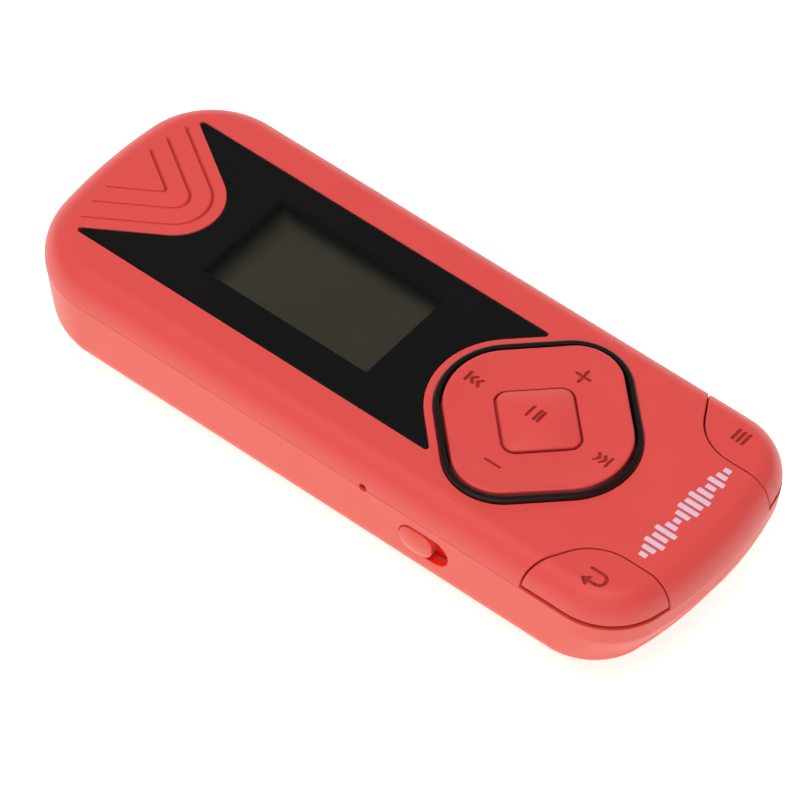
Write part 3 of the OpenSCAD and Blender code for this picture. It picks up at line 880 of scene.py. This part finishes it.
FRONT_ROUND = 2.75
front_rim = Rim(ellipse_profile(FRONT_ROUND, FACE_Z - SEAM_Z, FACE_Z, 1), 1, False)
BACK_ROUND = 2.0
BACK_DRAFT = 0.3
back_profile = [(i + BACK_DRAFT, z) for i, z in ellipse_profile(BACK_ROUND, BACK_ROUND, BACK_Z, -1)]
back_profile += [(BACK_DRAFT * (1 - k / 20), BACK_Z + BACK_ROUND + (SEAM_Z - BACK_Z - BACK_ROUND) * k / 20)
                 for k in range(1, 21)]
back_rim = Rim(back_profile, -1, True)


def counter_clockwise(outline):
    x, y = outline.T
    area = (x * np.roll(y, -1) - y * np.roll(x, -1)).sum()
    return outline if area > 0 else outline[::-1]


def side_outline(rim_map, outline_yz, side):
    """Plane points for an outline given as (y, z) on a long side wall."""
    plan = np.c_[np.full(len(outline_yz), side * HALF_W), outline_yz[:, 0]]
    return counter_clockwise(rim_map.on_wall(plan, outline_yz[:, 1]))


def end_outline(rim_map, outline_xz):
    """Plane points for an outline given as (x, z) on the notch end's wall."""
    plan = np.c_[outline_xz[:, 0], np.full(len(outline_xz), HALF_L)]
    for _ in range(4):
        outside, outward = rim(plan)
        plan[:, 1] -= outside * np.sign(outward[:, 1])
    return counter_clockwise(rim_map.on_wall(plan, outline_xz[:, 1]))


def arrow_back(x, y):
    """A return arrow: an open hook with a small arrow head."""
    hook = [(x + 0.75 * math.sin(a), y - 0.5 - 0.75 * math.cos(a)) for a in np.linspace(-1.57, 1.57, 13)]
    return [hook + [(x + 0.75, y + 0.9)], [(x - 0.75, y - 0.5), (x - 0.75, y + 0.75)],
            [(x - 1.2, y + 0.3), (x - 0.75, y + 0.85), (x - 0.3, y + 0.3)]]


def build_front_shell():
    seam = Cut(rim_line(front_rim.flat - front_rim.s[-1]), 0.07, hole=False)
    ring = front_rim.unroll(dense(ring_outline(0.03), 0.4))
    card = rectangle(2, 13.6, SEAM_Z - 1, SEAM_Z + 0.9, 0.2)
    cuts = [
        seam,
        Cut(window_outline(0), 0.12),
        Cut(ring, 0.18),
        *[Cut(front_rim.unroll(dense(key_outline(side, GAP))), 0.14) for side in (-1, 1)],
        Cut(side_outline(front_rim, circle(MIC_Y, MIC_Z, MIC_R, 24), -1), 0.06),
        Cut(side_outline(front_rim, dense(card), 1), 0.08),
    ]
    arms = [(8.2, 22.42, 4.05), (5.8, 26.55, 1.8), (3.4, 30.45, 0.45)]
    strokes = [Stroke(chevron_line(*arm), 0.1, 0.11, 0.34) for arm in arms]
    collar = [dense(ring_outline(COLLAR + k), 0.5) for k in (0, 0.05, 0.1, 0.15, COLLAR_EDGE)]
    lines = front_rim.lines(13) + [front_rim.unroll(line) for line in collar]
    # The chevrons' full-depth floors take the darker coral: painted shade in the grooves.
    piece = skin("front_shell_skin", front_rim.place, cuts, WALL, 1, strokes, lines, shade_reach=0)
    dress(piece, "shell", ["front_shell"])


def bay_outline(grow, r):
    return rectangle(-BAY_HALF_W - grow, BAY_HALF_W + grow, BAY_Y[0] - grow, BAY_Y[1] + grow, r)


def build_back_shell():
    seam = Cut(rim_line(back_rim.flat - back_rim.s[-1]), 0.07, hole=False)
    slot_y = (HOLD_Y - HOLD_SLOT_L / 2, HOLD_Y + HOLD_SLOT_L / 2)
    slot_r = HOLD_SLOT_H / 2
    slot = rectangle(*slot_y, HOLD_Z - slot_r, HOLD_Z + slot_r, slot_r - 0.01)
    usb = rectangle(USB_X - 4.1, USB_X + 4.1, BOARD_Z - 3.0, BOARD_Z + 0.2, 0.5)
    cuts = [
        seam,
        Cut(side_outline(back_rim, dense(slot), -1), 0.15),
        Cut(side_outline(back_rim, circle(MIC_Y, MIC_Z, MIC_R, 24), -1), 0.06),
        Cut(end_outline(back_rim, circle(JACK_X, JACK_Z, 2.95, 48)), 0.2),
        Cut(end_outline(back_rim, dense(usb)), 0.12),
        Cut(bay_outline(0, 0.6), 0.3),
    ]
    cuts += [Cut(circle(x, y, 1.5), 0.12) for x in (-BOSS_X, BOSS_X) for y in BOSS_YS]
    piece = skin("back_shell_skin", back_rim.place, cuts, WALL, -1, (), back_rim.lines(15))
    dress(piece, "back", ["back_shell"])

    inner, outer = bay_outline(0.02, 0.6), bay_outline(0.8, 1.38)
    mouth = BACK_Z + 1.25
    bay = [(inner, BAY_TOP + 0.02), (inner, mouth), (outer, mouth), (outer, BAY_TOP + 0.8)]
    dress(stack("clip_bay", bay), "back")
    lip = []
    for inset, z in ((1.32, SEAM_Z - 0.8), (1.32, SEAM_Z + 0.6), (1.9, SEAM_Z + 0.6), (1.9, SEAM_Z - 0.8)):
        ring = level(rim_line(inset), z)
        ring[:, 1] -= key_end_shift(ring[:, 1], SEAM_Z)
        lip.append(ring)
    # The lip wears the saturated red: painted shade in the gap under the keys.
    dress(loft("back_shell_lip", lip, closed=True), "flange")
    # A thin lining on the hold slot's walls, there only to give them the saturated red of painted shade.
    liner = []
    for inset, depth in ((0.004, 0.25), (0.004, 1.35), (0.03, 1.35), (0.03, 0.25)):
        yz = parallel(slot, inset)
        liner.append(np.c_[np.full(len(yz), depth - HALF_W), yz])
    dress(loft("hold_slot_shade_liner", liner, closed=True), "flange")


# ---- window and display


def build_window():
    view = rectangle(*VIEW_X, *VIEW_Y, 0.25)
    top = FACE_Z - 0.03
    cuts = [Cut(window_outline(0.05), 0.1, hole=False), Cut(view, 0.01)]
    border = skin("window_frame", flat(top), cuts, LENS_T)
    dress(border, "gloss", ["display_window"])
    edge = parallel(view, 0.01)
    dress(stack("window_pane", [(edge, top - 0.05), (edge, top - 0.002)]), "pane")
    low, high = box_mm("display_module")
    module = rectangle(low[0], high[0], low[1], high[1], 0.3)
    glass = rectangle(*PANEL_X, *PANEL_Y, 0.3)
    step_z = high[2] - 0.5
    panel = [(module, low[2]), (module, step_z), (glass, step_z), (glass, high[2])]
    dress(stack("display_panel", panel), "lcd", ["display_module"])
    outer, inner = parallel(view, 0.012), parallel(view, 0.09)
    gasket_z = (top - 0.06, high[2] + 0.01)
    lining = [(outer, gasket_z[0]), (inner, gasket_z[0]), (inner, gasket_z[1]), (outer, gasket_z[1])]
    dress(stack("window_gasket", lining, closed=True), "gasket")


# ---- pad, ring and keys


def build_ring():
    """The trim ring, with a rounded crest that leans up towards the pad."""
    width = 0.6
    round_r = 0.27
    top = FACE_Z + RING_RISE
    inner_r = 0.12
    section = [(0, FACE_Z - 1.1)]
    section += [(-round_r * (1 - math.cos(a)), top - round_r * (1 - math.sin(a)))
                for a in np.linspace(0, math.pi / 2, 8)]
    section += [(-width + inner_r * (1 - math.cos(a)), top - inner_r * (1 - math.sin(a)))
                for a in np.linspace(math.pi / 2, 0, 5)]
    section.append((-width, FACE_Z - 1.1))
    rings = [(ring_outline(grow), z) for grow, z in section]
    dress(stack("trim_ring_body", rings, closed=True), "trim", ["trim_ring"])


def bar(x, y, length):
    """A stroke across the body."""
    return [(x - length / 2, y), (x + length / 2, y)]


def skip_mark(y, direction):
    """Two chevrons and a bar that point along the body."""
    size = 0.5
    lines = [bar(0, y + direction * 0.75, 1.2)]
    for k in (0.3, -0.4):
        tip = y + direction * k
        lines.append([(-size, tip - direction * 0.35), (0, tip), (size, tip - direction * 0.35)])
    return lines


def dish(p):
    """The pad's top: level at its rim, and hollowed towards the middle."""
    away = np.hypot(p[:, 0], p[:, 1] - PAD_Y) / DISH_R
    return np.c_[p, PAD_Z - DISH_DEPTH * (1 - np.clip(away, 0, 1) ** 3.5)]


def build_pad():
    button_hole = Cut(button_outline(GAP), 0.16)
    rim_cut = Cut(pad_outline(GAP + 0.05), 0.28, hole=False)
    mark_x = 7.35
    mark_y = 8
    lines = [bar(mark_x, PAD_Y, 1.6), [(mark_x, PAD_Y - 0.8), (mark_x, PAD_Y + 0.8)],
             [(-mark_x, PAD_Y - 0.85), (-mark_x, PAD_Y + 0.85)]]
    lines += skip_mark(PAD_Y + mark_y, 1) + skip_mark(PAD_Y - mark_y, -1)
    strokes = [Stroke(line, 0.13, 0.08, 0.3) for line in lines]
    rings = [dense(lozenge(PAD_APEX * k, PAD_R_SIDE * k, PAD_R_END * k), 0.8)
             for k in (0.55, 0.7, 0.82, 0.91, 0.95)]
    # Darker faces along the marks: painted shade in the grooves.
    pad = skin("rocker_pad", dish, [rim_cut, button_hole], 1.6, 1, strokes, rings, shade_reach=0.6)
    dress(pad, "pad", ["control_pad"], body="pad")


def dome(p):
    """The centre button's pillow: low at its sides, highest in the middle."""
    edge = PAD_Z - DISH_DEPTH + 0.12
    power = 1.55
    away = (np.abs(p[:, 0]) ** power + np.abs(p[:, 1] - PAD_Y) ** power) ** (1 / power) / BUTTON_TIP
    return edge + (DOME_Z - edge - 0.02) * (1 - np.clip(away, 0, 1.1) ** 2.1)


def build_centre_button():
    def place(p):
        return np.c_[p, dome(p)]

    edge = button_outline(0)
    grid = grid_inside(edge, [0, PAD_Y], 5, 5, 0.3, 0.35)
    lines = [bar(0, PAD_Y + 1.0, 1.4), bar(0, PAD_Y + 0.1, 1.4), bar(0, PAD_Y - 0.35, 1.4)]
    strokes = [Stroke(line, 0.13, 0.08, 0.28) for line in lines]
    cuts = [Cut(edge, 0.3, hole=False)]
    # Darker faces along the marks: painted shade in the grooves.
    button = skin("centre_button_cap", place, cuts, 2.2, 1, strokes, (), grid, shade_reach=0.6)
    dress(button, "key", ["centre_button"], body="centre_key")
    ledge_z = PAD_Z - DISH_DEPTH - 0.35
    section = ((-0.4, 0), (GAP - 0.07, 0), (GAP - 0.07, -0.8), (-0.4, -0.8))
    rings = [(button_outline(grow), ledge_z + z) for grow, z in section]
    # The ledge in the button's gap wears the darker coral: painted shade under the button.
    dress(stack("centre_button_ledge", rings, closed=True), "groove_shade", body="centre_key")


def build_corner_key(side, name, marks):
    lift_s = np.interp(FACE_Z - SEAM_Z - KEY_LIFT, FACE_Z - front_rim.z, front_rim.s)
    edge = Cut(rim_line(front_rim.flat - lift_s), 0.18, hole=False)
    plan = Cut(front_rim.unroll(dense(key_outline(side, 0))), 0.16, hole=False)
    strokes = [Stroke(front_rim.unroll(dense(np.array(m, float), 0.12, False)), 0.14, 0.08, 0.28)
               for m in marks]
    lines = [rim_line(front_rim.flat - s) for s in np.linspace(0, lift_s, 12)[:-1]]
    # Darker faces along the marks: painted shade in the grooves.
    key = skin(f"{name}_key_cap", front_rim.place, [edge, plan], WALL, 1, strokes, lines, shade_reach=0.6)
    dress(key, "key", [f"{name}_button"], body=f"{name}_key")


# ---- hold slider


def build_hold_slider():
    half_l = (HOLD_SLOT_L - HOLD_TRAVEL - 0.1) / 2
    half_h = (HOLD_SLOT_H - 0.4) / 2
    y_mid = HOLD_Y + HOLD_SLOT_L / 2 - 0.05 - half_l
    x_edge = -HALF_W - 0.02
    x_top = cad_low[0] / MM

    def place(p):
        away = np.hypot((p[:, 0] - y_mid) / half_l, (p[:, 1] - HOLD_Z) / half_h)
        return np.c_[x_edge + (x_top - x_edge + 0.01) * (1 - np.clip(away, 0, 1) ** 2.2), p]

    edge = rectangle(y_mid - half_l, y_mid + half_l, HOLD_Z - half_h, HOLD_Z + half_h, half_h - 0.01)
    grid = grid_inside(edge, [y_mid, HOLD_Z], 2.4, 1.8, 0.2, 0.25)
    knob = skin("hold_knob_cap", place, [Cut(edge, 0.14, hole=False)], 1.6, -1, (), (), grid)
    dress(knob, "slider", ["hold_slider"], body="hold_knob")
    flange = soft_box("hold_flange", (-HALF_W + 1.54, HOLD_Y - 3.4, HOLD_Z - 2.1),
                      (-HALF_W + 2.15, HOLD_Y + 5, HOLD_Z + 2.1), 0.12)
    # The flange, seen through the slot, wears the saturated red: painted shade in the recess.
    dress(flange, "flange", body="hold_knob")
    finger = soft_box("hold_finger", (-HALF_W + 2.1, y_mid - 1, HOLD_Z + 0.2),
                      (box_mm("hold_slider")[1][0], y_mid, HOLD_Z + 1), 0.1)
    dress(finger, "slider", body="hold_knob")


# ---- belt clip


def build_clip():
    low, high = box_mm("belt_clip")
    half = high[0]
    tip_r = half - 0.6
    arm = rounded([(half, low[1], tip_r), (half - 0.001, high[1], 1.6),
                   (-half, high[1], 1.6), (-half, low[1], tip_r)], 5.0)
    grips = [Stroke(bar(0, y, 8.4), 0.12, 0.3, 0.35) for y in high[1] - 2.6 - 1.5 * np.arange(4)]
    clip = skin("belt_clip_arm", flat(0), [Cut(arm, 0.7, hole=False)], CLIP_T - 0.02, -1, grips)
    dress(clip, "clip", ["belt_clip"], body="clip")
    ear_r = 1.7
    ear_x = 5.6
    pin_hole_r = 0.8
    turn = [(PIN_Y + ear_r * math.cos(a), PIN_Z + ear_r * math.sin(a)) for a in np.linspace(0, math.pi, 25)]
    ear = np.array([(PIN_Y + ear_r, CLIP_T - 0.05), *turn, (PIN_Y - ear_r, CLIP_T - 0.05)])
    cuts = [Cut(ear, 0.1, hole=False), Cut(circle(PIN_Y, PIN_Z, pin_hole_r, 24), 0.08)]
    for side, word in ((-1, "left"), (1, "right")):
        def place(p, x=side * ear_x):
            return np.c_[np.full(len(p), x), p]

        dress(skin(f"clip_ear_{word}", place, cuts, 1.6, side), "clip", body="clip")
    ridge_y = low[1] + 4
    ridge_r = 2.1
    a = np.linspace(0.2, math.pi - 0.2, 13)
    section = np.c_[ridge_y + ridge_r * np.cos(a), CLIP_T - 0.7 + ridge_r * np.sin(a)]
    section = np.r_[section, [[section[-1][0], CLIP_T - 0.3]], [[section[0][0], CLIP_T - 0.3]]]
    loops = []
    for x, k in ((-4.5, 0.8), (-4.3, 0.97), (-4.1, 1.0), (4.1, 1.0), (4.3, 0.97), (4.5, 0.8)):
        scaled = (section - [ridge_y, CLIP_T]) * k + [ridge_y, CLIP_T]
        loops.append(np.c_[np.full(len(section), x), np.minimum(scaled, [99, BACK_Z - 0.15])])
    dress(loft("clip_ridge", loops, smooth_deg=60), "clip", body="clip")


def tube(name, points, r):
    """A round wire along points (mm), closed at both ends."""
    ahead = unit(np.gradient(points, axis=0))
    side = np.cross(ahead[0], [0.3, 0.2, 0.93])
    a = np.arange(10) * math.pi / 5
    loops = []
    for p, d in zip(points, ahead):
        side = side - d * (side @ d)
        side /= np.linalg.norm(side)
        up = np.cross(d, side)
        loops.append(p + r * (np.outer(np.cos(a), side) + np.outer(np.sin(a), up)))
    return loft(name, loops)


def build_spring():
    """The clip's torsion spring: its coil and one leg stay with the casing, the other leg with the clip."""
    wire = 0.28
    shown_r = wire - 0.01
    coil_r = 1.18
    turns = 5
    a = np.linspace(0, 2 * math.pi * turns, turns * 20 + 1)
    coil = np.c_[-1.5 + 3.0 * a / a[-1], PIN_Y + coil_r * np.sin(a), PIN_Z - coil_r * np.cos(a)]
    dress(tube("spring_coil", coil, shown_r), "spring", ["clip_spring"])
    t = np.linspace(0, 1, 12)
    leg = 6.2
    upper = np.c_[np.full(12, 1.5), PIN_Y - leg * t, PIN_Z + coil_r - 0.32 * t]
    dress(tube("spring_upper_leg", upper, shown_r), "spring")
    lower = np.c_[np.full(12, -1.5), PIN_Y - leg * t, PIN_Z - coil_r - 3.4 * t]
    lower[:, 2] = np.maximum(lower[:, 2], CLIP_T + wire)
    dress(tube("spring_lower_leg", lower, shown_r), "spring", body="clip")


# ---- sockets in the end wall


def build_jack():
    low, high = box_mm("headphone_jack")
    end = high[1]
    deep = low[1] + 1.2 - end
    a = np.arange(48) * math.pi / 24
    section = [(2.85, -2.3), (2.85, -0.25), (2.78, -0.08), (2.6, 0), (2.15, 0), (1.95, -0.08),
               (1.82, -0.3), (1.8, -0.6), (1.8, deep), (2.4, deep), (2.4, -2.3)]
    rings = [np.c_[JACK_X + r * np.cos(a), np.full(48, end + y), JACK_Z + r * np.sin(a)]
             for r, y in section]
    dress(loft("jack_nose", rings, closed=True, smooth_deg=35), "nylon")


# ---- printed mark


def build_print():
    """A row of bars of changing length, as a plain level meter."""
    top = FACE_Z + 0.012
    heights = (0.9, 1.5, 2.3, 1.7, 2.5, 1.3, 0.8, 1.6, 2.4, 2.0, 2.5, 1.8, 1.1, 1.9, 1.2, 0.8)
    y_mid = -35.4
    pitch = 0.92
    for k, height in enumerate(heights):
        x = (k - (len(heights) - 1) / 2) * pitch + 0.1
        outline = rectangle(x - 0.29, x + 0.29, y_mid - height / 2, y_mid + height / 2, 0.1)
        mark = skin(f"print_bar_{k:02d}", flat(top), [Cut(outline, 0.006, hole=False)], 0.02)
        dress(mark, "ink")


# ---- inner pieces from the CAD model

CAD_FINISH = {
    "board": ["main_board"],
    "chip": ["processor", "memory_chip"],
    "nylon": ["usb_tongue", "headphone_jack"],
    "steel": ["crystal", "card_socket", "usb_shell", "pad_switches", "centre_switch", "corner_switches",
              "hold_switch", "clip_pin"],
    "screw": ["case_screws"],
    "capsule": ["microphone"],
    "gold": ["jack_contacts"],
    "cell": ["battery"],
    "tape": ["battery_tape"],
    "wire": ["battery_leads"],
    "flex": ["display_flex"],
    "silicone": ["pad_membrane"],
}


def dress_cad_nodes():
    for material, names in CAD_FINISH.items():
        for name in names:
            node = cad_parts[name]
            if not node.material_slots:
                node.data.materials.append(MATERIALS[material])
            for slot in node.material_slots:
                slot.material = MATERIALS[material]


# ---- studio


def area_light(name, position, size, watts, colour=(1, 1, 1)):
    """A soft sheet of light that faces the object."""
    data = bpy.data.lights.new(name, "AREA")
    data.shape = "RECTANGLE"
    data.size, data.size_y = size
    data.energy = watts
    data.color = colour
    lamp = add_object(name, data)
    lamp.location = position
    lamp.rotation_euler = (-Vector(position)).to_track_quat("-Z", "Y").to_euler()
    lamp.visible_camera = False
    return lamp


def build_floor():
    """Pale paper that is lit from within, and see-through from below."""
    bm = bmesh.new()
    bmesh.ops.create_grid(bm, x_segments=8, y_segments=8, size=3.0)
    floor = smooth_piece("studio_floor", bm, 40)
    n = Nodes("floor_paper")
    n.set(Base_Color=n.mix(n.noise(40), (0.61, 0.60, 0.57), (0.63, 0.62, 0.59)), Roughness=0.9)
    n.set(Normal=n.bump(n.noise(2), 0.01), Specular_IOR_Level=0.1)
    n.set(Emission_Color=(1.0, 0.96, 0.90, 1), Emission_Strength=0.87)
    below = n.add("NewGeometry").outputs["Backfacing"]
    clear = n.add("BsdfTransparent").outputs[0]
    n.surface("MixShader", below, n.shader.outputs[0], clear)
    floor.data.materials.append(n.material)
    floor.location.z = -0.00002


def build_studio():
    build_floor()
    world = bpy.data.worlds.new("studio_world")
    bpy.context.scene.world = world
    world.use_nodes = True
    background = world.node_tree.nodes["Background"]
    background.inputs["Color"].default_value = (1, 1, 1, 1)
    background.inputs["Strength"].default_value = 0.11
    overhead = area_light("overhead_soft", (-0.16, 0.03, 0.95), (0.8, 0.8), 8.9)
    overhead.visible_glossy = False
    area_light("near_sheet", (-1.08, -0.3, 0.95), (2.0, 2.0), 6.3, (1, 0.97, 0.9))
    area_light("far_sheet", (0.9, 0.7, 0.27), (2.0, 0.5), 3.5)
    bpy.context.scene.view_settings.view_transform = "Standard"


def build_camera():
    """A long lens that looks down on the near corner of the key end."""
    azimuth = math.radians(53.824)
    elevation = math.radians(49.230)
    roll = math.radians(3.119)
    distance = 569.70 * MM
    target = Vector((-6.60, -5.09, 15.0)) * MM
    turn = Matrix.Rotation(-azimuth, 4, "Z") @ Matrix.Rotation(math.pi / 2 - elevation, 4, "X")
    back = turn @ Vector((0, 0, distance))
    data = bpy.data.cameras.new("camera")
    data.sensor_width = 36
    data.lens = 259.0
    data.clip_start = 0.01
    camera = add_object("camera", data)
    camera.matrix_world = Matrix.Translation(target + back) @ turn @ Matrix.Rotation(roll, 4, "Z")
    bpy.context.scene.camera = camera


build_front_shell()
build_back_shell()
build_window()
build_ring()
build_pad()
build_centre_button()
MENU_MARK = [bar(11.5, y, 1.4) for y in (-33.2, -33.8, -34.4)]
build_corner_key(1, "menu", MENU_MARK)
build_corner_key(-1, "return", arrow_back(-12.0, -33.5))
build_hold_slider()
build_clip()
build_spring()
build_jack()
build_print()
dress_cad_nodes()
build_studio()
build_camera()
